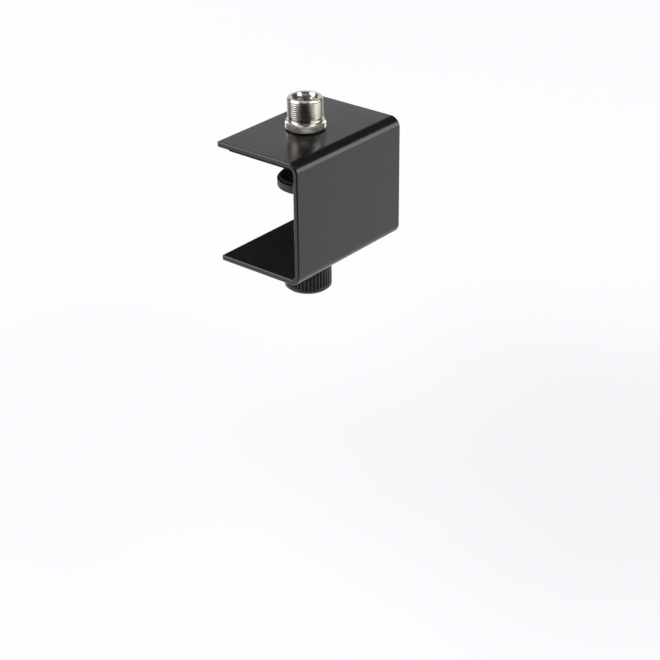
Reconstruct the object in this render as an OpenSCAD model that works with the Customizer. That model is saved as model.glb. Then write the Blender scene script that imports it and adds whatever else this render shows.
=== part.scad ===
// Desk-edge clamp that carries a 5/8 inch microphone thread.
// A C-shaped sheet-steel bracket grips the desk edge. A hand screw under the lower
// flange pushes a non-turning foot up against the desk's underside, and a nickel
// stud on the top flange takes the arm, holder or hook that is screwed on.
// Origin: on the common axis of stud and hand screw, in the plane of the desk top.
// +Z up, +Y into the desk, the bracket's front plate faces -Y.

/* [Bracket] */
// Width along the desk edge
bracket_w = 71; // [60:1:90]
// Depth of both flanges, from the front plate's outer face
bracket_d = 45; // [42:1:60]
// Height over both flanges
bracket_h = 56.5; // [50:0.5:80]
// Coated thickness of the steel sheet
sheet_t = 2.6; // [2.5:0.1:3]
// Inside radius of the two bends
bend_r = 2.3; // [2:0.1:4]
// Radius of the flanges' free corners
corner_r = 1; // [0.5:0.5:6]
// Screw and stud axis, behind the front plate's outer face
axis_y = 25; // [22:1:30]

/* [Top pad] */
// Thickness of the rubber under the top flange
pad_t = 2; // [1:0.5:3]
// Strip of bare flange left round the pad
pad_inset = 3; // [2:0.5:5]
// Radius of the pad's corners
pad_corner_r = 2; // [1:0.5:4]

/* [Thread stud] */
// Major diameter of the outer 5/8-27 thread
stud_thread_d = 15.875; // [15.5:0.125:16]
// Length of the outer thread with its lead-in chamfer
stud_thread_len = 8.5; // [7:0.1:10]
// Chamfer at the mouth of the stud
stud_chamfer = 0.6; // [0.3:0.1:0.8]
// Diameter of the plain neck under the thread
neck_d = 14.6; // [14:0.1:15]
// Length of the plain neck
neck_len = 1.8; // [1:0.1:2]
// Diameter of the knurled flange
stud_flange_d = 18; // [17:0.5:22]
// Thickness of the knurled flange
stud_flange_t = 3.5; // [2.5:0.1:4]
// Chamfer on the knurled flange's edges
stud_flange_chamfer = 0.5; // [0.3:0.05:0.6]
// Major diameter of the inner 3/8-16 thread
stud_bore_d = 9.6; // [9.55:0.05:9.7]
// Depth of the inner thread from the stud's mouth
stud_bore_depth = 7.8; // [7:0.1:8]
// Diameter of the countersink at the stud's mouth
stud_mouth_d = 10.9; // [10.5:0.1:12]
// Thickness of the black washer under the stud
washer_t = 0.6; // [0.3:0.1:1]
// Diameter of the washer
washer_d = 16.4; // [15:0.2:17]

/* [Stud screw] */
// Nominal diameter of the countersunk screw
fixing_d = 5; // [4, 5]
// Diameter of its head
fixing_head_d = 9; // [8.6:0.1:9]
// Length over the head
fixing_len = 8; // [7.5:0.5:8]
// Width across the flats of its hexagon socket
fixing_socket_af = 3; // [2.5:0.5:3]

/* [Clamp screw] */
// Nominal diameter of the clamp screw
screw_d = 6; // [5, 6]
// Width across the flats of its hexagon head
screw_head_af = 10; // [8, 10]
// Height of its hexagon head
screw_head_h = 4; // [3.5:0.5:4]
// Diameter of the plain tip that carries the foot
tip_d = 4.4; // [4:0.1:4.5]
// Diameter of the clip groove in the tip
groove_d = 3.2; // [3:0.1:3.5]
// Radial running clearance of the screw and its tip
running_gap = 0.05; // [0.02:0.01:0.08]

/* [Clinch nut] */
// Diameter of the clinch nut's head
nut_d = 11; // [10:0.5:12]
// Height of the head above the sheet
nut_h = 4; // [3:0.5:5]
// Diameter of the shank pressed into the sheet
nut_shank_d = 8.7; // [8.5:0.1:9]
// Length of the shank
nut_shank_len = 2.2; // [1.5:0.1:2.4]

/* [Knob] */
// Diameter over the ribs
knob_d = 21.5; // [18:0.5:30]
// Height of the knob with its collar
knob_h = 14.6; // [13:0.1:16]
// Number of ribs
knob_ribs = 40; // [24:2:60]
// Depth of the grooves between the ribs
rib_depth = 0.5; // [0.3:0.1:0.7]
// Chamfer at the knob's bottom edge
knob_chamfer = 1.2; // [0.8:0.1:1.6]
// Height of the collar on top of the knob
collar_h = 1.5; // [1:0.5:2]
// Diameter of the collar
collar_d = 13; // [12:0.5:15]
// Diameter of the cap in the knob's underside
cap_d = 15.6; // [14:0.2:17]
// Thickness of the cap
cap_t = 1.5; // [1:0.1:2]
// Underside of the knob, below the lower flange's outer face
knob_drop = 20.1; // [19:0.1:24]

/* [Pressure foot] */
// Diameter of the foot
foot_d = 26; // [22:1:30]
// Thickness of the foot's disc below its rim
foot_disc_t = 3; // [2.5:0.5:4]
// Height of the rim round the foot's pad
foot_rim_h = 0.8; // [0.5:0.1:1]
// Diameter of the hub under the disc
foot_hub_d = 12; // [10:1:14]
// Height of the hub
foot_hub_h = 2; // [1.5:0.5:3]
// Diameter of the foot's rubber pad
foot_pad_d = 24; // [20:1:26]
// Thickness of the foot's rubber pad
foot_pad_t = 2; // [1.5:0.5:3]
// Outer diameter of the retaining clip
clip_d = 7; // [6.5:0.5:8]
// Thickness of the retaining clip
clip_t = 0.6; // [0.5:0.1:0.7]

/* [Desk] */
// Thickness of the desk board that the clamp holds at rest
desk_t = 17; // [15:1:30]

/* [Hidden] */
$fn = 96;
overcut = 1;      // how far a cutting body runs past the face that it cuts
seat_gap = 0.05;  // gap between pieces that are fixed together and share a curved face

// Bracket: heights of the sheet's faces, and the planes of the front plate
top_inner_z = pad_t;
top_outer_z = top_inner_z + sheet_t;
low_outer_z = top_outer_z - bracket_h;
low_inner_z = low_outer_z + sheet_t;
plate_outer_y = -axis_y;
plate_inner_y = plate_outer_y + sheet_t;
free_edge_y = plate_outer_y + bracket_d;
outer_bend_r = bend_r + sheet_t;

// Top pad: it starts where the inner bend ends
pad_front_y = plate_inner_y + bend_r + 1;
pad_back_y = free_edge_y - pad_inset;
pad_w = bracket_w - 2 * pad_inset;

// Stud, counted up from the washer's top face
stud_foot_z = top_outer_z + washer_t;
stud_h = stud_flange_t + neck_len + stud_thread_len;
stud_tip_z = stud_foot_z + stud_h;
stud_bore_z = stud_tip_z - stud_bore_depth;
stud_mouth_h = (stud_mouth_d - stud_bore_d) / 2;

// Countersunk screw: its head face sits just inside the sheet
fixing_recess = 0.1;
fixing_z = top_inner_z + fixing_recess;
fixing_cone_h = (fixing_head_d - fixing_d) / 2;
fixing_land = 0.25;
fixing_socket_depth = 1.6;

// Foot and its pad, counted down from the desk's underside
foot_face_z = -desk_t;
foot_seat_z = foot_face_z - foot_pad_t;
foot_disc_z = foot_seat_z - foot_disc_t;
foot_bottom_z = foot_disc_z - foot_hub_h;
foot_recess_depth = 2;
foot_recess_d = 9;
foot_recess_z = foot_seat_z - foot_recess_depth;

// Clamp screw: shoulder under the foot's hub, tip through the foot, clip on top
thrust_gap = 0.1;
shoulder_z = foot_bottom_z - thrust_gap;
clip_z = foot_recess_z + thrust_gap;
groove_w = clip_t + 0.04;
tip_end_z = foot_seat_z - 0.5;
clip_mouth_w = 2.4;

// Knob, counted up from its underside
knob_bottom_z = low_outer_z - knob_drop;
knob_top_z = knob_bottom_z + knob_h;
knob_body_top_z = knob_top_z - collar_h;
cap_z = knob_bottom_z;
cap_seat_z = knob_bottom_z + cap_t;
rib_inset = 0.05;  // the plain bottom band stands proud of the ribs by this much
head_gap = 0.3;
head_bottom_z = cap_seat_z + head_gap;
head_top_z = head_bottom_z + screw_head_h;
hex_corner = 1 / cos(30);  // corner radius of a hexagon whose half width is 1

// ---------- shared shapes ----------

// Rectangle with four equal round corners, centred on x and starting at y0
module round_plan(w, y0, y1, r) {
  d = y1 - y0;
  translate([0, y0 + d / 2]) {
    square([w - 2 * r, d], center = true);
    square([w, d - 2 * r], center = true);
    for (sx = [-1, 1], sy = [-1, 1])
      translate([sx * (w / 2 - r), sy * (d / 2 - r)]) circle(r = r);
  }
}

// Upright cylinder between two heights
module rod(d, z0, z1) {
  translate([0, 0, z0]) cylinder(d = d, h = z1 - z0);
}

// Upright hexagonal prism between two heights, by its width across the flats
module hex_rod(af, z0, z1) {
  translate([0, 0, z0]) cylinder(r = af / 2 * hex_corner, h = z1 - z0, $fn = 6);
}

// ---------- frame ----------

// Side outline of the bent sheet, drawn with x into the desk and y up
module c_outline() {
  difference() {
    bend_block(plate_outer_y, low_outer_z, top_outer_z, outer_bend_r, free_edge_y);
    bend_block(plate_inner_y, low_inner_z, top_inner_z, bend_r, free_edge_y + overcut);
  }
}

// Block from y0 to y1 and z0 to z1, with both corners at y0 rounded
module bend_block(y0, z0, z1, r, y1) {
  translate([y0 + r, z0]) square([y1 - y0 - r, z1 - z0]);
  translate([y0, z0 + r]) square([y1 - y0, z1 - z0 - 2 * r]);
  for (z = [z0 + r, z1 - r]) translate([y0 + r, z]) circle(r = r);
}

// Plan of the flanges: square at the bends, round at the free corners
module flange_plan() {
  round_plan(bracket_w, plate_outer_y, free_edge_y, corner_r);
  translate([-bracket_w / 2, plate_outer_y]) square([bracket_w, bracket_d / 2]);
}

// Bent steel bracket with the countersunk hole for the stud's screw and the nut's hole
module bracket() color([0.07, 0.07, 0.075]) difference() {
  intersection() {
    rotate([90, 0, 90])
      translate([0, 0, -bracket_w / 2]) linear_extrude(bracket_w) c_outline();
    translate([0, 0, low_outer_z - overcut])
      linear_extrude(bracket_h + 2 * overcut) flange_plan();
  }
  fixing_hole_d = fixing_d + 0.3;
  sink_d = fixing_head_d + 0.2;
  sink_land = fixing_recess + fixing_land;
  rod(fixing_hole_d, top_inner_z - overcut, top_outer_z + overcut);
  rod(sink_d, top_inner_z - overcut, top_inner_z + sink_land);
  translate([0, 0, top_inner_z + sink_land])
    cylinder(d1 = sink_d, d2 = fixing_hole_d, h = (sink_d - fixing_hole_d) / 2);
  rod(nut_shank_d + 2 * seat_gap, low_outer_z - overcut, low_inner_z + overcut);
}

// Rubber sheet between the top flange and the desk
module top_pad() color([0.03, 0.03, 0.03])
  linear_extrude(pad_t) round_plan(pad_w, pad_front_y, pad_back_y, pad_corner_r);

// Thin black washer that keeps the stud off the coating
module stud_washer() color([0.02, 0.02, 0.02]) difference() {
  rod(washer_d, top_outer_z, stud_foot_z);
  rod(fixing_d + 0.4, top_outer_z - overcut, stud_foot_z + overcut);
}

// Turned stud: knurled flange, neck, outer thread at its major diameter, stepped bore
module thread_stud() color([0.8, 0.77, 0.72]) difference() {
  rotate_extrude() polygon([
    [0, stud_foot_z],
    [stud_flange_d / 2 - stud_flange_chamfer, stud_foot_z],
    [stud_flange_d / 2, stud_foot_z + stud_flange_chamfer],
    [stud_flange_d / 2, stud_foot_z + stud_flange_t - stud_flange_chamfer],
    [stud_flange_d / 2 - stud_flange_chamfer, stud_foot_z + stud_flange_t],
    [neck_d / 2, stud_foot_z + stud_flange_t],
    [neck_d / 2, stud_tip_z - stud_thread_len],
    [stud_thread_d / 2, stud_tip_z - stud_thread_len],
    [stud_thread_d / 2, stud_tip_z - stud_chamfer],
    [stud_thread_d / 2 - stud_chamfer, stud_tip_z],
    [0, stud_tip_z]
  ]);
  rod(stud_bore_d, stud_bore_z, stud_tip_z + overcut);
  translate([0, 0, stud_tip_z - stud_mouth_h])
    cylinder(d1 = stud_bore_d, d2 = stud_mouth_d, h = stud_mouth_h);
  rod(fixing_d + 2 * seat_gap, stud_foot_z - overcut, stud_bore_z + overcut);
}

// Countersunk screw that holds the stud from below, with a hexagon socket
module stud_screw() color([0.6, 0.6, 0.6]) difference() {
  rotate_extrude() polygon([
    [0, fixing_z],
    [fixing_head_d / 2, fixing_z],
    [fixing_head_d / 2, fixing_z + fixing_land],
    [fixing_d / 2, fixing_z + fixing_land + fixing_cone_h],
    [fixing_d / 2, fixing_z + fixing_len],
    [0, fixing_z + fixing_len]
  ]);
  hex_rod(fixing_socket_af, fixing_z - overcut, fixing_z + fixing_socket_depth);
}

// Clinch nut: shank pressed into the lower flange, head on its inner face
module clinch_nut() color([0.65, 0.65, 0.62]) difference() {
  nut_chamfer = 0.5;
  nut_top_z = low_inner_z + nut_h;
  union() {
    rod(nut_shank_d, low_inner_z - nut_shank_len, low_inner_z);
    rod(nut_d, low_inner_z, nut_top_z - nut_chamfer);
    translate([0, 0, nut_top_z - nut_chamfer])
      cylinder(d1 = nut_d, d2 = nut_d - 2 * nut_chamfer, h = nut_chamfer);
  }
  rod(screw_d + 2 * running_gap, low_outer_z - overcut, nut_top_z + overcut);
}

// ---------- hand screw ----------

// Clamp screw: hexagon head, thread at its major diameter, plain tip with a clip groove
module clamp_screw() color([0.6, 0.6, 0.6]) {
  hex_rod(screw_head_af, head_bottom_z, head_top_z);
  rotate_extrude() polygon([
    [0, head_top_z],
    [screw_d / 2, head_top_z],
    [screw_d / 2, shoulder_z],
    [tip_d / 2, shoulder_z],
    [tip_d / 2, clip_z],
    [groove_d / 2, clip_z],
    [groove_d / 2, clip_z + groove_w],
    [tip_d / 2, clip_z + groove_w],
    [tip_d / 2, tip_end_z],
    [0, tip_end_z]
  ]);
}

// Outline of the ribbed grip: a flat land and a V groove for each rib
module rib_outline() {
  r_out = knob_d / 2 - rib_inset;
  r_in = knob_d / 2 - rib_depth;
  step = 360 / knob_ribs;
  polygon([
    for (i = [0:knob_ribs - 1], p = [[-0.3, r_out], [0, r_out], [0.3, r_out], [0.5, r_in]])
      let (a = (i + p[0]) * step) [p[1] * cos(a), p[1] * sin(a)]
  ]);
}

// Ribbed knob with a plain bottom band, a collar, a hexagon pocket and a cap seat
module knob() color([0.06, 0.06, 0.065]) difference() {
  band_h = 1.2;
  ribs_z = knob_bottom_z + knob_chamfer + band_h;
  lip_h = 0.8;
  lip_d = knob_d - 2 * rib_depth - 0.2;
  union() {
    translate([0, 0, knob_bottom_z])
      cylinder(d1 = knob_d - 2 * knob_chamfer, d2 = knob_d, h = knob_chamfer);
    rod(knob_d, knob_bottom_z + knob_chamfer, ribs_z);
    translate([0, 0, ribs_z]) linear_extrude(knob_body_top_z - lip_h - ribs_z) rib_outline();
    translate([0, 0, knob_body_top_z - lip_h])
      cylinder(d1 = lip_d, d2 = lip_d - 2 * lip_h, h = lip_h);
    rod(collar_d, knob_body_top_z, knob_top_z);
  }
  rod(screw_d + 2 * seat_gap, knob_bottom_z, knob_top_z + overcut);
  hex_rod(screw_head_af + 2 * seat_gap, knob_bottom_z, head_top_z);
  rod(cap_d + 2 * seat_gap, knob_bottom_z - overcut, cap_seat_z);
}

// Push-in cap that closes the pocket under the screw's head
module knob_cap() color([0.05, 0.05, 0.055]) {
  cap_bevel = 0.4;
  translate([0, 0, cap_z])
    cylinder(d1 = cap_d - 2 * cap_bevel, d2 = cap_d, h = cap_bevel);
  rod(cap_d, cap_z + cap_bevel, cap_seat_z);
}

// E-shaped retaining clip in the tip's groove, drawn as a ring with one open side
module foot_clip() color([0.3, 0.3, 0.3]) difference() {
  rod(clip_d, clip_z + 0.02, clip_z + 0.02 + clip_t);
  rod(groove_d + 2 * seat_gap, clip_z - overcut, clip_z + clip_t + overcut);
  translate([-clip_mouth_w / 2, 0, clip_z - overcut])
    cube([clip_mouth_w, clip_d, clip_t + 2 * overcut]);
}

// ---------- foot ----------

// Pressure foot: disc with a raised rim, a hub, a bore for the tip and a clip recess
module pressure_foot() color([0.09, 0.09, 0.09]) difference() {
  hub_top_d = foot_hub_d + 2;
  union() {
    rod(foot_d, foot_disc_z, foot_seat_z + foot_rim_h);
    translate([0, 0, foot_bottom_z]) cylinder(d1 = foot_hub_d, d2 = hub_top_d, h = foot_hub_h);
  }
  rod(foot_pad_d + 0.4, foot_seat_z, foot_face_z + overcut);
  rod(foot_recess_d, foot_recess_z, foot_seat_z + overcut);
  rod(tip_d + 2 * running_gap, foot_bottom_z - overcut, foot_seat_z);
}

// Rubber disc bonded into the foot's rim
module foot_pad() color([0.03, 0.03, 0.03]) rod(foot_pad_d, foot_seat_z, foot_face_z);

bracket();
top_pad();
stud_washer();
thread_stud();
stud_screw();
clinch_nut();
clamp_screw();
knob();
knob_cap();
pressure_foot();
foot_clip();
foot_pad();
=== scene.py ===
"""Looks of a desk-edge clamp: black powder-coated bracket, nickel thread stud, hand screw.

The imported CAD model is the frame: each piece takes its place and outer size from its node's
box. The screw's axis is the Z axis, +Z is up, +Y points into the desk and the front plate
faces -Y. Lengths are metres; MM turns millimetres into metres.
"""

import math

import bmesh
import bpy
import numpy as np
from mathutils import Matrix, Vector


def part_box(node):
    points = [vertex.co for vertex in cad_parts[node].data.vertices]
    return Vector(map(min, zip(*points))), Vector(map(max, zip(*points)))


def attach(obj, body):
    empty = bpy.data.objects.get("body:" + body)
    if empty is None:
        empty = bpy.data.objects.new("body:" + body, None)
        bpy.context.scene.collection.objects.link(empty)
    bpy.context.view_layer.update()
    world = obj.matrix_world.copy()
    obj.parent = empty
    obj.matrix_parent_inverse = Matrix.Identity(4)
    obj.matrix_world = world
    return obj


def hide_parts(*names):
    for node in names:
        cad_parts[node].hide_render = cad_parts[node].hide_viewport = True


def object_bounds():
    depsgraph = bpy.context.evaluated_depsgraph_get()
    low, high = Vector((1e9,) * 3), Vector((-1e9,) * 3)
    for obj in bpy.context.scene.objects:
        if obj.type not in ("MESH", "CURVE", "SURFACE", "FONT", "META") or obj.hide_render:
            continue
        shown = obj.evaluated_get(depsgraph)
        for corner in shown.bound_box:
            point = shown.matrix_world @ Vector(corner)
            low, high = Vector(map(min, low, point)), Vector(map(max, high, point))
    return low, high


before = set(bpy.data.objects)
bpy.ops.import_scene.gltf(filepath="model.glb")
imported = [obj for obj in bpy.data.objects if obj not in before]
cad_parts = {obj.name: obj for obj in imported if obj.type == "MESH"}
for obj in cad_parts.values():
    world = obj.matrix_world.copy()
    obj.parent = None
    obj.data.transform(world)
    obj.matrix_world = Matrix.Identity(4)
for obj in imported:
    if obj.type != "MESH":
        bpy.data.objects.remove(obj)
cad_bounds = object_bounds()

MM = 0.001
TAU = 2 * math.pi


# ---------- camera ----------

CAMERA_PLACE = (-0.52246, -0.44458, 0.27274)
CAMERA_AZIMUTH = -50.41    # degrees; 0 looks along +Y
CAMERA_ELEVATION = 28.235  # degrees that it looks down
CAMERA_ROLL = -0.654       # degrees
CAMERA_LENS = 91.53        # millimetres
SENSOR_WIDTH = 36          # millimetres
NEAREST_SEEN = 0.01


def facing(azimuth, elevation, roll=0.0):
    """Rotation whose +Z points to a direction in degrees, and so a camera or light looks back."""
    azimuth, elevation = math.radians(azimuth), math.radians(elevation)
    out = Vector((math.sin(azimuth) * math.cos(elevation),
                  -math.cos(azimuth) * math.cos(elevation), math.sin(elevation)))
    right = Vector((math.cos(azimuth), math.sin(azimuth), 0))
    right = Matrix.Rotation(math.radians(roll), 3, out) @ right
    return Matrix((right, out.cross(right), out)).transposed().to_4x4()


def make_camera():
    """The camera at the photographed view."""
    data = bpy.data.cameras.new("camera")
    data.lens = CAMERA_LENS
    data.sensor_width = SENSOR_WIDTH
    data.clip_start = NEAREST_SEEN
    camera = bpy.data.objects.new("camera", data)
    bpy.context.scene.collection.objects.link(camera)
    turn = facing(CAMERA_AZIMUTH, CAMERA_ELEVATION, CAMERA_ROLL)
    camera.matrix_world = Matrix.Translation(CAMERA_PLACE) @ turn
    bpy.context.scene.camera = camera


# ---------- node materials ----------

def new_material(name, colour, roughness, metallic=0.0, ior=1.5):
    """A material with a Principled shader. Returns it with its tree and shader.

    colour and roughness are its average, which noise then varies in most materials."""
    material = bpy.data.materials.new(name)
    material.use_nodes = True
    tree = material.node_tree
    shader = tree.nodes["Principled BSDF"]
    fill(shader, {"Base Color": (*colour, 1), "Roughness": roughness, "Metallic": metallic,
                  "IOR": ior})
    return material, tree, shader


def fill(node, values):
    """Sets a node's unlinked inputs by name."""
    for name, value in values.items():
        node.inputs[name].default_value = value


def noise(tree, scale, detail=3.0, roughness=0.5, stretch=(1, 1, 1)):
    """Noise over the object's own coordinates, in features per metre."""
    place = tree.nodes.new("ShaderNodeTexCoord")
    mapping = tree.nodes.new("ShaderNodeMapping")
    texture = tree.nodes.new("ShaderNodeTexNoise")
    fill(mapping, {"Scale": stretch})
    fill(texture, {"Scale": scale, "Detail": detail, "Roughness": roughness})
    tree.links.new(place.outputs["Object"], mapping.inputs["Vector"])
    tree.links.new(mapping.outputs["Vector"], texture.inputs["Vector"])
    return texture.outputs["Fac"]


NOISE_LOW, NOISE_HIGH = 0.3, 0.7   # where most of the noise's values lie


def vary_roughness(tree, shader, factor, smooth, rough):
    """Roughness that wanders between two values with a noise."""
    node = tree.nodes.new("ShaderNodeMapRange")
    fill(node, {"From Min": NOISE_LOW, "From Max": NOISE_HIGH, "To Min": smooth, "To Max": rough})
    tree.links.new(factor, node.inputs["Value"])
    tree.links.new(node.outputs["Result"], shader.inputs["Roughness"])


def bump(tree, shader, height, distance, strength, below=None):
    """A bump of that height in metres, on top of the one below it."""
    node = tree.nodes.new("ShaderNodeBump")
    fill(node, {"Strength": strength, "Distance": distance})
    tree.links.new(height, node.inputs["Height"])
    if below is not None:
        tree.links.new(below, node.inputs["Normal"])
    tree.links.new(node.outputs["Normal"], shader.inputs["Normal"])
    return node.outputs["Normal"]


MIX_DARK, MIX_LIGHT, MIX_RESULT = 6, 7, 2   # a mix node's colour sockets, which share names


def tint(tree, shader, factor, dark, light):
    """Base colour that wanders between two colours with a noise."""
    mix = tree.nodes.new("ShaderNodeMix")
    mix.data_type = "RGBA"
    tree.links.new(factor, mix.inputs["Factor"])
    mix.inputs[MIX_DARK].default_value = (*dark, 1)
    mix.inputs[MIX_LIGHT].default_value = (*light, 1)
    tree.links.new(mix.outputs[MIX_RESULT], shader.inputs["Base Color"])


def powder_coat():
    """Black satin powder coat: a glossy film with faint orange peel and fine grain."""
    material, tree, shader = new_material("powder_coat", (0.008, 0.008, 0.0085), 0.24, ior=1.54)
    tint(tree, shader, noise(tree, 900, 4), (0.006, 0.006, 0.0065), (0.011, 0.011, 0.0115))
    peel = bump(tree, shader, noise(tree, 700, 2), 0.00002, 0.35)
    bump(tree, shader, noise(tree, 4200, 2), 0.000006, 0.5, below=peel)
    vary_roughness(tree, shader, noise(tree, 60), 0.21, 0.27)
    return material


def nickel():
    """Bright, slightly warm nickel plate with fine turning lines."""
    material, tree, shader = new_material("nickel", (0.76, 0.72, 0.66), 0.16, metallic=1.0)
    turned = noise(tree, 30, 4, 0.6, stretch=(1, 1, 260))
    tint(tree, shader, turned, (0.70, 0.66, 0.60), (0.82, 0.78, 0.72))
    vary_roughness(tree, shader, turned, 0.16, 0.25)
    bump(tree, shader, turned, 0.000008, 0.4)
    return material


def zinc():
    """Zinc plate: pale blue-grey metal with a slightly cloudy sheen."""
    material, tree, shader = new_material("zinc_plate", (0.62, 0.63, 0.64), 0.3, metallic=1.0)
    cloud = noise(tree, 500, 4)
    tint(tree, shader, cloud, (0.52, 0.53, 0.55), (0.68, 0.69, 0.69))
    vary_roughness(tree, shader, cloud, 0.22, 0.36)
    bump(tree, shader, noise(tree, 3000, 2), 0.000006, 0.5)
    return material


def spring_steel():
    """Dark phosphated spring steel."""
    material, tree, shader = new_material("spring_steel", (0.1, 0.1, 0.1), 0.45, metallic=0.8)
    grain = noise(tree, 2500)
    tint(tree, shader, grain, (0.06, 0.06, 0.06), (0.13, 0.13, 0.13))
    bump(tree, shader, grain, 0.000005, 0.5)
    return material


def rubber(name, shade, grain_scale):
    """Matte black rubber with a fine pebbled skin."""
    material, tree, shader = new_material(name, (shade,) * 3, 0.72, ior=1.45)
    grain = noise(tree, grain_scale)
    tint(tree, shader, noise(tree, 250), (shade * 0.7,) * 3, (shade * 1.35,) * 3)
    bump(tree, shader, grain, 0.00003, 0.6)
    vary_roughness(tree, shader, grain, 0.62, 0.82)
    return material


def moulded(name, shade, roughness, grain_scale):
    """Black moulded plastic with a faint spark-eroded grain."""
    colour = (shade, shade, shade * 1.08)
    material, tree, shader = new_material(name, colour, roughness, ior=1.48)
    grain = noise(tree, grain_scale)
    tint(tree, shader, noise(tree, 400), tuple(c * 0.8 for c in colour),
         tuple(c * 1.2 for c in colour))
    vary_roughness(tree, shader, grain, roughness - 0.06, roughness + 0.06)
    bump(tree, shader, grain, 0.000012, 0.6)
    return material


# ---------- mesh building ----------

SAME_POINT = 1e-7    # points closer than this are merged
NO_LENGTH = 1e-8     # edges shorter than this are dissolved


def new_object(name, points, faces, material, sharp_angle=35):
    """An object from points and faces, smooth apart from edges above sharp_angle degrees."""
    mesh = bpy.data.meshes.new(name)
    mesh.from_pydata([tuple(p) for p in points], [], faces)
    work = bmesh.new()
    work.from_mesh(mesh)
    bmesh.ops.remove_doubles(work, verts=work.verts, dist=SAME_POINT)
    bmesh.ops.dissolve_degenerate(work, edges=work.edges, dist=NO_LENGTH)
    bmesh.ops.recalc_face_normals(work, faces=work.faces)
    for face in work.faces:
        face.smooth = True
    work.to_mesh(mesh)
    work.free()
    mesh.set_sharp_from_angle(angle=math.radians(sharp_angle))
    mesh.materials.append(material)
    obj = bpy.data.objects.new(name, mesh)
    bpy.context.scene.collection.objects.link(obj)
    return obj


def place(piece, body, slot, node):
    """The piece rides on a body and stands for its CAD node, which it hides. slot is not used."""
    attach(piece, body)
    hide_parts(node)


def circle_angles(count):
    """Angles of count points round a circle, in radians."""
    return np.arange(count) * TAU / count


def ring(radius, z, count):
    """count points round the axis. radius and z are numbers or one value per point."""
    a = circle_angles(count)
    r = np.broadcast_to(radius, count)
    return np.stack([r * np.cos(a), r * np.sin(a), np.broadcast_to(z, count)], 1)


# points round small holes, round small turned pieces and round the foot
COARSE, SMOOTH, ROUND = 48, 96, 128


class Turned:
    """Collects rings from one end of a turned piece to the other, and skins them."""

    def __init__(self):
        self.rings = []
        self.threads = []   # (first ring, last ring, rings from one turn to the next above)

    def add(self, radius, z, count):
        """Adds one ring."""
        self.rings.append(ring(radius, z, count))

    def path(self, pairs, count):
        """Adds a ring for each (radius, z)."""
        for radius, z in pairs:
            self.add(radius, z, count)

    def build(self, name, material, loop=False, sharp_angle=35):
        """loop joins the last ring to the first; otherwise both ends are closed with a face."""
        points, starts, faces = [], [], []
        for r in self.rings:
            starts.append(len(points))
            points.extend(r)
        # a ring's last point joins its own first one, or in a thread the next turn's
        onward = list(starts)
        for first, last, lead in self.threads:
            for i in range(first, last + 1):
                onward[i] = starts[min(max(i + lead, first), last)]
        last = len(self.rings) if loop else len(self.rings) - 1
        for i in range(last):
            j = (i + 1) % len(self.rings)
            faces += zip_rings(starts[i], len(self.rings[i]), starts[j], len(self.rings[j]),
                               onward[i], onward[j])
        if not loop:
            faces.append(tuple(starts[0] + k for k in range(len(self.rings[0]))))
            faces.append(tuple(starts[-1] + k for k in range(len(self.rings[-1])))[::-1])
        return new_object(name, points, faces, material, sharp_angle)


def zip_rings(a0, na, b0, nb, a_onward=None, b_onward=None):
    """Faces between two rings of points that start at the same angle.

    a_onward and b_onward are the points that their last ones join, if not their first."""
    if na == nb:
        faces = [(a0 + k, a0 + k + 1, b0 + k + 1, b0 + k) for k in range(na - 1)]
        a_onward = a0 if a_onward is None else a_onward
        b_onward = b0 if b_onward is None else b_onward
        return faces + [(a0 + na - 1, a_onward, b_onward, b0 + nb - 1)]
    faces, i, j = [], 0, 0
    while i < na or j < nb:
        if j >= nb or (i < na and (i + 1) / na <= (j + 1) / nb):
            faces.append((a0 + i % na, a0 + (i + 1) % na, b0 + j % nb))
            i += 1
        else:
            faces.append((a0 + i % na, b0 + (j + 1) % nb, b0 + j % nb))
            j += 1
    return faces


def arc(centre, radius, start, end, steps):
    """(r, z) pairs on an arc round centre, from start to end degrees."""
    angles = np.radians(np.linspace(start, end, steps + 1))
    return [(centre[0] + radius * math.cos(a), centre[1] + radius * math.sin(a)) for a in angles]


# One pitch of a thread's outline: (share of the pitch, share of the depth below the crest)
THREAD_SHAPE = [(0.0, 0.0), (0.125, 0.0), (0.28, 0.5), (0.4375, 1.0), (0.5625, 1.06),
                (0.6875, 1.0), (0.845, 0.5)]


def thread_radius(phase, crest, root):
    """Radius at a phase in pitches, from 0 at the start of the crest."""
    phases = [p for p, _ in THREAD_SHAPE] + [1.0]
    depths = [d for _, d in THREAD_SHAPE] + [0.0]
    return crest + (root - crest) * np.interp(phase % 1.0, phases, depths)


def add_thread(piece, z0, z1, pitch, crest, root, count, trim):
    """Helical rows from z0 to z1. trim(radius, z) gives the radius once the ends are cut.

    Each row rises one pitch in a turn. The first and last laps lie flat on z0 and z1."""
    turn = np.arange(count) / count
    way = 1 if z1 > z0 else -1
    low, high = min(z0, z1), max(z0, z1)
    laps = math.ceil((high - low) / pitch) + 2
    shares = sorted(share if way > 0 else 1 - share for share, _ in THREAD_SHAPE)
    first = len(piece.rings)
    for lap in range(-1, laps):
        for share in shares:
            z = np.clip(z0 + way * (lap + share) * pitch + turn * pitch, low, high)
            radius = thread_radius((z - low) / pitch - turn, crest, root)
            piece.add(trim(radius, z), z, count)
    piece.threads.append((first, len(piece.rings) - 1, way * len(THREAD_SHAPE)))


# ---------- bracket ----------

EDGE_ROUND = 0.75 * MM   # rounding that the coating leaves on the sheet's edges
CORNER_R = 1.0 * MM      # free corners of the flanges
SHEET_T = 2.6 * MM
BEND_OUTER_R = 4.9 * MM
NUT_HOLE_R = 4.4 * MM    # hole that the clinch nut is pressed into
CORNER_STEPS, FLAT_STEPS, BEND_STEPS, EDGE_STEPS = 10, 8, 20, 6


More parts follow.
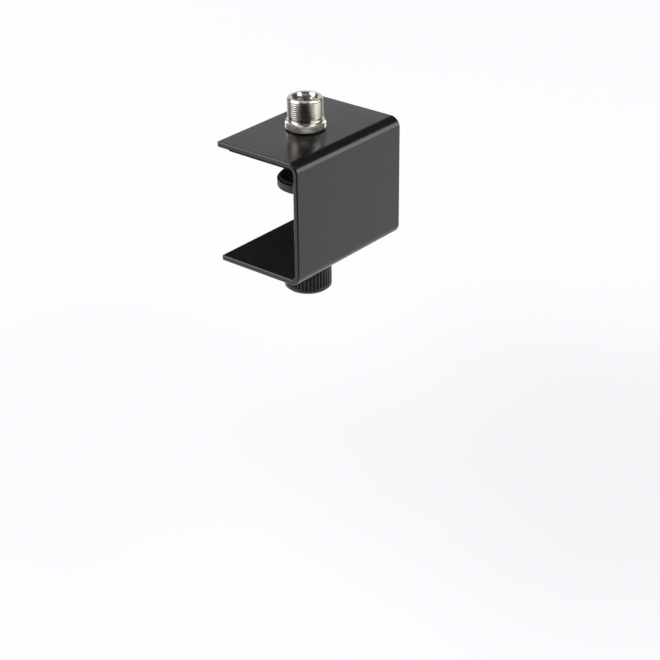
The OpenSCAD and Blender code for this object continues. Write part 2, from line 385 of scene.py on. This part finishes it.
def sheet_path():
    """Stations along the bent sheet from the top flange's free edge to the lower one's.

    Each is (end, y, z, outward normal y, outward normal z) on the sheet's middle surface.
    end is the distance from the nearer free edge, and stays at a flange's length between them."""
    low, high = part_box("bracket")
    centre_y = low.y + BEND_OUTER_R
    flat = high.y - centre_y
    rise = high.z - low.z - 2 * BEND_OUTER_R
    mid_r = BEND_OUTER_R - SHEET_T / 2
    cuts = [CORNER_R * (1 - math.cos(math.pi / 2 * k / CORNER_STEPS))
            for k in range(CORNER_STEPS + 1)]
    cuts += [CORNER_R + (flat - CORNER_R) * k / FLAT_STEPS for k in range(1, FLAT_STEPS + 1)]
    stations = [(cut, high.y - cut, high.z - SHEET_T / 2, 0.0, 1.0) for cut in cuts]
    for start, centre_z in ((0, high.z - BEND_OUTER_R), (math.pi / 2, low.z + BEND_OUTER_R)):
        for k in range(1, BEND_STEPS + 1):
            a = start + math.pi / 2 * k / BEND_STEPS
            ny, nz = -math.sin(a), math.cos(a)
            stations.append((flat, centre_y + mid_r * ny, centre_z + mid_r * nz, ny, nz))
        if start == 0:
            for k in range(1, FLAT_STEPS + 1):
                z = centre_z - rise * k / FLAT_STEPS
                stations.append((flat, low.y + SHEET_T / 2, z, -1.0, 0.0))
    stations += [(cut, high.y - cut, low.z + SHEET_T / 2, 0.0, -1.0) for cut in cuts[-2::-1]]
    return stations


def half_width(end, inset):
    """Half the sheet's width at a distance from its free edge, inset all round.

    The free corners are round."""
    low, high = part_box("bracket")
    full = (high.x - low.x) / 2 - inset
    radius = CORNER_R - inset
    end -= inset
    if end >= radius:
        return full
    return full - radius + math.sqrt(max(radius ** 2 - (radius - max(end, 0)) ** 2, 0))


def make_bracket(material):
    """The bent sheet, with round free corners, rounded edges and the nut's hole."""
    stations = sheet_path()
    layers = []   # (inset, height over the middle surface), from the outer side to the inner
    for k in range(EDGE_STEPS + 1):
        a = math.radians(90 * k / EDGE_STEPS)
        layers.append((EDGE_ROUND * (1 - math.sin(a)),
                       SHEET_T / 2 - EDGE_ROUND * (1 - math.cos(a))))
    layers += [(inset, -height) for inset, height in layers[::-1]]
    points, faces = [], []
    count = len(stations)
    for inset, height in layers:
        for side in (-1, 1):
            for end, y, z, ny, nz in stations:
                # near a free edge the station moves in with the inset
                move = inset * max(0, 1 - end / CORNER_R)
                x = side * half_width(end + move, inset)
                points.append((x, y - move + ny * height, z + nz * height))

    def at(layer, side, i):
        return (2 * layer + side) * count + i

    for layer in range(len(layers) - 1):
        for i in range(count - 1):
            for side in (0, 1):
                quad = (at(layer, side, i), at(layer, side, i + 1),
                        at(layer + 1, side, i + 1), at(layer + 1, side, i))
                faces.append(quad if side else quad[::-1])
        for i in (0, count - 1):
            faces.append((at(layer, 0, i), at(layer, 1, i),
                          at(layer + 1, 1, i), at(layer + 1, 0, i)))
    for layer in (0, len(layers) - 1):
        for i in range(count - 1):
            faces.append((at(layer, 0, i), at(layer, 1, i),
                          at(layer, 1, i + 1), at(layer, 0, i + 1)))
    bracket = new_object("bent_bracket", points, faces, material, 50)
    low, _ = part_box("bracket")
    cut_hole(bracket, NUT_HOLE_R, low.z, low.z + SHEET_T)
    weight_normals(bracket)
    return bracket


def weight_normals(obj):
    """Flat faces keep flat shading where they meet rounded edges."""
    weighted = obj.modifiers.new("weighted", "WEIGHTED_NORMAL")
    weighted.keep_sharp = True
    weighted.weight = 100


def cut_hole(obj, radius, z0, z1):
    """Cuts an upright hole on the axis through obj between two heights."""
    cutter = Turned()
    margin = 1 * MM
    cutter.path([(radius, z0 - margin), (radius, z1 + margin)], SMOOTH)
    tool = cutter.build("cutter", obj.data.materials[0])
    cut = obj.modifiers.new("hole", "BOOLEAN")
    cut.object = tool
    cut.operation = "DIFFERENCE"
    cut.solver = "EXACT"
    bpy.context.view_layer.update()
    evaluated = obj.evaluated_get(bpy.context.evaluated_depsgraph_get())
    cut_mesh = bpy.data.meshes.new_from_object(evaluated)
    obj.modifiers.remove(cut)
    obj.data = cut_mesh
    bpy.data.objects.remove(tool)


# ---------- stud ----------

STUD_PITCH = 25.4 * MM / 27
BORE_PITCH = 25.4 * MM / 16
KNURLS = 56
KNURL_DEPTH = 0.34 * MM
KNURL_SAMPLES, KNURL_ROWS = 8, 20
KNURL_FLAT = 0.2   # share of a pyramid's height that is cut off its tip


def add_knurl(piece, radius, z0, z1):
    """Rows of a diamond knurl: pyramids between two crossing sets of V grooves."""
    count = KNURLS * KNURL_SAMPLES
    turn = np.arange(count) / KNURL_SAMPLES
    period = TAU * radius / KNURLS
    for k in range(KNURL_ROWS + 1):
        z = z0 + (z1 - z0) * k / KNURL_ROWS
        u, v = turn + (z - z0) / period, turn - (z - z0) / period
        to_groove = np.minimum(np.abs(u % 1 - 0.5), np.abs(v % 1 - 0.5)) * 2
        height = np.minimum(1, to_groove / (1 - KNURL_FLAT))
        piece.add(radius - KNURL_DEPTH * (1 - height), z, count)


def make_stud(material):
    """Knurled flange, plain neck, outer 5/8-27 thread and countersunk 3/8-16 bore."""
    low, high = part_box("thread_stud")
    flange_r = high.x
    chamfer, bottom_chamfer = 0.5 * MM, 0.2 * MM
    flange_top = low.z + 3.5 * MM
    neck_r, neck_top = 7.3 * MM, low.z + 5.3 * MM
    fillet = 0.6 * MM
    crest, root = 7.9375 * MM, 7.42 * MM
    tip_chamfer, rim = 0.6 * MM, 0.12 * MM
    mouth_r, bore_crest, bore_root = 5.9 * MM, 3.98 * MM, 4.78 * MM
    mouth_bottom = high.z - (mouth_r - bore_root) - rim
    bore_z, runout = high.z - 7.8 * MM, 0.4 * MM
    screw_r = 2.55 * MM
    fine, count = KNURLS * KNURL_SAMPLES, 160
    stud = Turned()
    stud.add(screw_r, low.z, COARSE)
    stud.add(flange_r - KNURL_DEPTH - bottom_chamfer, low.z, fine)
    add_knurl(stud, flange_r, low.z + bottom_chamfer, flange_top - chamfer)
    stud.add(flange_r - chamfer, flange_top, fine)
    stud.path(arc((neck_r + fillet, flange_top + fillet), fillet, -90, -180, 6), count)
    stud.add(neck_r, neck_top, count)
    add_thread(stud, neck_top, high.z, STUD_PITCH, crest, root, count,
               lambda r, z: np.minimum(r, crest - np.maximum(0, z - high.z + tip_chamfer)))
    stud.path([(crest - tip_chamfer - rim, high.z), (mouth_r + rim, high.z),
               (mouth_r, high.z - rim * 0.6), (bore_root, mouth_bottom)], count)
    add_thread(stud, mouth_bottom, bore_z + runout, BORE_PITCH, bore_crest, bore_root, count,
               lambda r, z: np.maximum(r, bore_root - np.maximum(0, mouth_bottom - z)))
    stud.path([(bore_crest, bore_z), (screw_r, bore_z)], COARSE)
    return stud.build("nickel_stud", material, loop=True, sharp_angle=28)


def make_washer(material):
    """Thin black washer with rounded edges."""
    low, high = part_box("stud_washer")
    soft, hole_r = 0.12 * MM, 2.7 * MM
    washer = Turned()
    washer.add(hole_r, low.z, SMOOTH)
    washer.path(arc((high.x - soft, low.z + soft), soft, -90, 0, 4), SMOOTH)
    washer.path(arc((high.x - soft, high.z - soft), soft, 0, 90, 4), SMOOTH)
    washer.add(hole_r, high.z, SMOOTH)
    return washer.build("washer", material, loop=True)


# ---------- hand screw ----------

SCREW_PITCH = 1 * MM


def make_spindle(material):
    """M6 spindle: hexagon head in the knob, rolled thread, plain tip with the clip's groove."""
    low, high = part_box("clamp_screw")
    knob_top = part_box("knob")[1].z
    clip_low, clip_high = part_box("foot_clip")
    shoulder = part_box("pressure_foot")[0].z - 0.1 * MM   # the foot turns on it
    head_top, head_chamfer = low.z + 4 * MM, 0.3 * MM
    crest, root = 2.98 * MM, 2.42 * MM
    thread_low, thread_high, taper = knob_top - 0.5 * MM, shoulder - 0.8 * MM, 0.5 * MM
    collar_r, edge = root + 0.1 * MM, 0.1 * MM
    tip_r, groove_r, groove_play, soft = 2.2 * MM, 1.6 * MM, 0.02 * MM, 0.3 * MM
    groove_low, groove_high = clip_low.z - groove_play, clip_high.z + groove_play
    count = 64
    hexagon = hexagon_radius(5 * MM, count)
    spindle = Turned()
    spindle.path([(hexagon - 0.35 * MM, low.z), (hexagon, low.z + head_chamfer),
                  (hexagon, head_top), (crest, head_top), (crest, thread_low - 0.5 * MM),
                  (root, thread_low - 0.1 * MM)], count)
    add_thread(spindle, thread_low, thread_high, SCREW_PITCH, crest, root, count,
               lambda r, z: np.minimum(r, crest - np.maximum(0, z - thread_high + taper)))
    spindle.add(collar_r, shoulder - 0.5 * MM, count)
    spindle.path(arc((collar_r, shoulder - edge), edge, 0, 90, 3), count)
    spindle.path([(tip_r, shoulder), (tip_r, groove_low), (groove_r, groove_low),
                  (groove_r, groove_high), (tip_r, groove_high)], count)
    spindle.path(arc((tip_r - soft, high.z - soft), soft, 0, 90, 4), count)
    return spindle.build("spindle", material, sharp_angle=28)


def hexagon_radius(half_flat, count):
    """Radius at each angle of a hexagon, given half the distance between its flats."""
    from_flat = circle_angles(count) % math.radians(60) - math.radians(30)
    return half_flat / np.cos(from_flat)


RIBS = 40
RIB_SAMPLES = 12
RIB_DEPTH = 0.5 * MM


def rib_dip(samples):
    """Depth at each sample round one rib: 0 on its top, just over 1 in the groove."""
    land, crown = 0.45, 0.1   # flat share of the top, and how far it curves down
    across = np.abs(np.arange(samples) / samples - 0.5) * 2
    return np.clip((across - land) / 0.5, 0, 1) ** 0.85 + crown * across ** 2


def make_knob(material):
    """Ribbed knob: chamfered bottom band, ribs, soft shoulder, collar, cap seat below."""
    low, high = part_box("knob")
    full = high.x
    count = RIBS * RIB_SAMPLES
    dip = np.tile(rib_dip(RIB_SAMPLES), RIBS) * RIB_DEPTH
    chamfer, soft = 1.2 * MM, 0.25 * MM
    rib_start, rib_fade = low.z + 2.4 * MM, 0.5 * MM
    collar_r, collar_h, fillet = 6.5 * MM, 1.5 * MM, 0.4 * MM
    shoulder_z, shoulder_r, shoulder_lean = high.z - collar_h, 0.9 * MM, 0.1 * MM
    seat_z = low.z + 1.5 * MM     # the cap sits below it, the screw's head above
    pocket_z, pocket_r = seat_z + 4.4 * MM, 5.8 * MM
    cap_r, screw_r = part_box("knob_cap")[1].x + 0.05 * MM, 3.05 * MM
    knob = Turned()
    knob.add(screw_r, pocket_z, COARSE)
    knob.path([(pocket_r, pocket_z), (pocket_r, seat_z), (cap_r, seat_z),
               (cap_r, low.z + soft), (cap_r + soft, low.z)], SMOOTH)
    knob.path(arc((full - chamfer - soft, low.z + soft), soft, -90, -45, 4), count)
    knob.path(arc((full - soft, low.z + chamfer + soft * 0.4), soft, -45, 0, 4), count)
    for share in (0, 0.25, 0.5, 0.75, 1):
        knob.add(full - dip * share, rib_start + rib_fade * share ** 0.7, count)
    knob.add(full - dip, shoulder_z - shoulder_r - 0.6 * MM, count)
    steps = 8
    for k in range(steps + 1):
        a = math.radians(90 * k / steps)
        inward = shoulder_r * (1 - math.cos(a)) + shoulder_lean * k / steps
        knob.add(full - inward - dip * math.cos(a) ** 0.5,
                 shoulder_z - shoulder_r * (1 - math.sin(a)), count)
    knob.path(arc((collar_r + fillet, shoulder_z + fillet), fillet, -90, -180, 4), SMOOTH)
    knob.path(arc((collar_r - soft, high.z - soft), soft, 0, 90, 4), SMOOTH)
    knob.add(screw_r, high.z, COARSE)
    return knob.build("ribbed_knob", material, loop=True, sharp_angle=40)


def make_knob_cap(material):
    """Push-in cap, slightly dished, flush in the knob's underside."""
    low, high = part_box("knob_cap")
    soft, dish, lip = 0.3 * MM, 0.25 * MM, 0.2 * MM
    dish_r, lip_r = high.x - 1.6 * MM, high.x - 1.2 * MM
    cap = Turned()
    cap.path([(1 * MM, low.z + dish), (dish_r, low.z + dish)], SMOOTH)
    cap.path(arc((lip_r, low.z + lip), lip, 180, 270, 4), SMOOTH)
    cap.path(arc((high.x - soft, low.z + soft), soft, -90, 0, 5), SMOOTH)
    cap.add(high.x, high.z, SMOOTH)
    return cap.build("cap", material)


# ---------- foot, nut and pads ----------

def make_foot(material):
    """Moulded pressure foot: hub, disc with round edges, raised rim, clip recess and bore."""
    low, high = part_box("pressure_foot")
    pad_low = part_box("foot_pad")[0].z
    disc_z = pad_low - 3 * MM
    hub_r, hub_soft = 6 * MM, 0.3 * MM
    fillet_r, fillet = 7.2 * MM, 0.4 * MM
    soft, edge = 0.6 * MM, 0.25 * MM
    rim_r, bore_r = 12.2 * MM, 2.25 * MM
    recess_r, recess_z = 4.5 * MM, pad_low - 2 * MM
    foot = Turned()
    foot.add(bore_r, low.z, ROUND)
    foot.path(arc((hub_r - hub_soft, low.z + hub_soft), hub_soft, -90, -20, 4), ROUND)
    foot.path(arc((fillet_r, disc_z - fillet), fillet, 180, 90, 4), ROUND)
    foot.path(arc((high.x - soft, disc_z + soft), soft, -90, 0, 6), ROUND)
    foot.path(arc((high.x - edge, high.z - edge), edge, 0, 90, 4), ROUND)
    foot.path([(rim_r, high.z), (rim_r, pad_low), (recess_r, pad_low),
               (recess_r, recess_z), (bore_r, recess_z)], ROUND)
    return foot.build("foot", material, loop=True)


def make_foot_pad(material):
    """Rubber disc with rounded edges and three shallow grip rings."""
    low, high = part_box("foot_pad")
    soft, groove = 0.35 * MM, 0.35 * MM
    groove_z = high.z - groove * 0.7
    pad = Turned()
    pad.add(1 * MM, low.z, ROUND)
    pad.path(arc((high.x - soft, low.z + soft), soft, -90, 0, 4), ROUND)
    pad.path(arc((high.x - soft, high.z - soft), soft, 0, 90, 5), ROUND)
    for r in (9 * MM, 6 * MM, 3 * MM):
        pad.path([(r + groove, high.z), (r + groove / 2, groove_z),
                  (r - groove / 2, groove_z), (r - groove, high.z)], ROUND)
    return pad.build("foot_rubber", material)


def make_top_pad(material):
    """Rubber sheet under the top flange, with rounded edges."""
    low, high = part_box("top_pad")
    corner, soft, steps = 2 * MM, 0.4 * MM, 8
    edge = arc((soft, soft), -soft, 90, 0, 5)   # (inset, rise) round the lower edge
    layers = [(inset, low.z + rise) for inset, rise in edge]
    layers += [(inset, high.z - rise) for inset, rise in edge[::-1]]
    left, right = low.x + corner, high.x - corner
    front, back = low.y + corner, high.y - corner
    points, faces = [], []
    for inset, z in layers:
        for x, y, start in ((right, back, 0), (left, back, 90),
                            (left, front, 180), (right, front, 270)):
            turn = arc((x, y), corner - inset, start, start + 90, steps)
            points += [(*spot, z) for spot in turn]
    size = 4 * (steps + 1)
    for layer in range(len(layers) - 1):
        faces += zip_rings(layer * size, size, (layer + 1) * size, size)
    faces.append(tuple(range(size))[::-1])
    faces.append(tuple(range((len(layers) - 1) * size, len(layers) * size)))
    pad = new_object("top_rubber", points, faces, material, 50)
    weight_normals(pad)
    return pad


def make_nut(material):
    """Clinch nut: round head with a chamfer, shank in the sheet, plain bore."""
    low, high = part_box("clinch_nut")
    sheet_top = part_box("bracket")[0].z + SHEET_T
    head_r, shank_r, bore_r = high.x, 4.35 * MM, 3.05 * MM
    chamfer, shank_chamfer, bore_chamfer, soft = 0.5 * MM, 0.2 * MM, 0.3 * MM, 0.12 * MM
    nut = Turned()
    nut.path([(bore_r + bore_chamfer, low.z), (shank_r - shank_chamfer, low.z),
              (shank_r, low.z + shank_chamfer), (shank_r, sheet_top)], SMOOTH)
    nut.path(arc((head_r - soft, sheet_top + soft), soft, -90, 0, 3), SMOOTH)
    nut.path([(head_r, high.z - chamfer), (head_r - chamfer, high.z),
              (bore_r + chamfer, high.z), (bore_r, high.z - chamfer),
              (bore_r, low.z + bore_chamfer)], SMOOTH)
    return nut.build("nut", material, loop=True, sharp_angle=30)


# ---------- stage and light ----------

FLOOR_DROP = 0.16   # floor below the part's lowest point at rest


def make_floor():
    """Plain pale floor, far enough down to clear the knob when the screw is wound out.

    It glows a little, so that it is nearly white and even."""
    size = 12
    z = cad_bounds[0][2] - FLOOR_DROP
    points = [(-size, -size, z), (size, -size, z), (size, size, z), (-size, size, z)]
    material, tree, shader = new_material("pale_floor", (0.3, 0.305, 0.31), 0.9)
    fill(shader, {"Emission Color": (0.968, 0.979, 1, 1), "Emission Strength": 0.79})
    tint(tree, shader, noise(tree, 3, 2), (0.29, 0.295, 0.30), (0.31, 0.315, 0.32))
    floor = new_object("floor", points, [(0, 1, 2, 3)], material)


def softbox(name, azimuth, elevation, distance, width, height, radiance):
    """Rectangular light that faces the part from a direction, with a given radiance."""
    data = bpy.data.lights.new(name, "AREA")
    data.shape = "RECTANGLE"
    data.size, data.size_y = width, height
    data.energy = radiance * math.pi * width * height
    light = bpy.data.objects.new(name, data)
    out = Matrix.Translation((0, 0, distance))
    light.matrix_world = facing(azimuth, elevation) @ out
    bpy.context.scene.collection.objects.link(light)


def card(name, corner, side, rise):
    """Black card from a corner along two edges. It shades the part, unseen by the camera."""
    material, _, _ = new_material("black_card", (0.01, 0.01, 0.01), 0.9)
    points = [corner, corner + side, corner + side + rise, corner + rise]
    piece = new_object(name, points, [(0, 1, 2, 3)], material)
    piece.visible_camera = False


def make_cards():
    """A dark slope on the camera's side, and a dark board where a desk would shade the C."""
    slope_distance, slope_width, slope_depth, slope_height = 0.36, 0.66, 0.64, 0.75
    out = Vector((CAMERA_PLACE[0], CAMERA_PLACE[1], 0)).normalized()
    side = Vector((-out.y, out.x, 0)) * slope_width
    foot = out * slope_distance - side / 2
    foot.z = cad_bounds[0][2] - FLOOR_DROP
    card("camera_side", foot, side, out * slope_depth + Vector((0, 0, slope_height)))
    low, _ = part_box("bracket")
    corner = Vector((low.x - 5 * MM, low.y + 6 * MM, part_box("foot_pad")[1].z / 3))
    card("desk_shade", corner, Vector((0.24, 0, 0)), Vector((0, 0.22, 0)))


def make_light():
    """Soft studio light: boxes behind, beside and above the part, and a dim world."""
    world = bpy.data.worlds.new("studio")
    world.use_nodes = True
    fill(world.node_tree.nodes["Background"], {"Color": (0.5, 0.52, 0.55, 1), "Strength": 0.12})
    bpy.context.scene.world = world
    # azimuth and elevation in degrees (0 is the front plate's side), distance, size, radiance
    softbox("back_right", 130, 11, 3, 3.4, 1.6, 0.72)
    softbox("back_left", -147, 48, 2.5, 1.3, 1.5, 5.0)
    softbox("right", 36, 13, 2.5, 2.0, 1.2, 3.0)
    softbox("upper_right", 30, 58, 2.5, 1.1, 1.0, 2.6)
    softbox("left", -134, 12, 2.5, 2.0, 1.2, 2.4)
    softbox("front_top", -50, 62, 2.5, 1.2, 0.8, 0.45)


# ---------- assembly ----------

make_camera()
coat = powder_coat()
nickel_plate = nickel()
zinc_plate = zinc()
pad_rubber = rubber("pad_rubber", 0.02, 1800)
washer_nylon = moulded("washer_nylon", 0.012, 0.5, 3000)
knob_plastic = moulded("knob_plastic", 0.014, 0.36, 2200)
foot_nylon = moulded("foot_nylon", 0.03, 0.5, 1800)
clip_steel = spring_steel()

place(make_bracket(coat), "frame", "coated_steel", "bracket")
place(make_top_pad(pad_rubber), "frame", "rubber", "top_pad")
place(make_washer(washer_nylon), "frame", "washer_plastic", "stud_washer")
place(make_stud(nickel_plate), "frame", "nickel", "thread_stud")
place(make_nut(zinc_plate), "frame", "zinc_steel", "clinch_nut")
place(make_spindle(zinc_plate), "hand_screw", "zinc_steel", "clamp_screw")
place(make_knob(knob_plastic), "hand_screw", "knob_plastic", "knob")
place(make_knob_cap(knob_plastic), "hand_screw", "knob_plastic", "knob_cap")
place(make_foot(foot_nylon), "foot", "foot_plastic", "pressure_foot")
place(make_foot_pad(pad_rubber), "foot", "rubber", "foot_pad")
for node, finish in (("stud_screw", zinc_plate), ("foot_clip", clip_steel)):
    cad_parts[node].data.materials.clear()
    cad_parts[node].data.materials.append(finish)

make_floor()
make_cards()
make_light()
bpy.context.scene.view_settings.view_transform = "Standard"
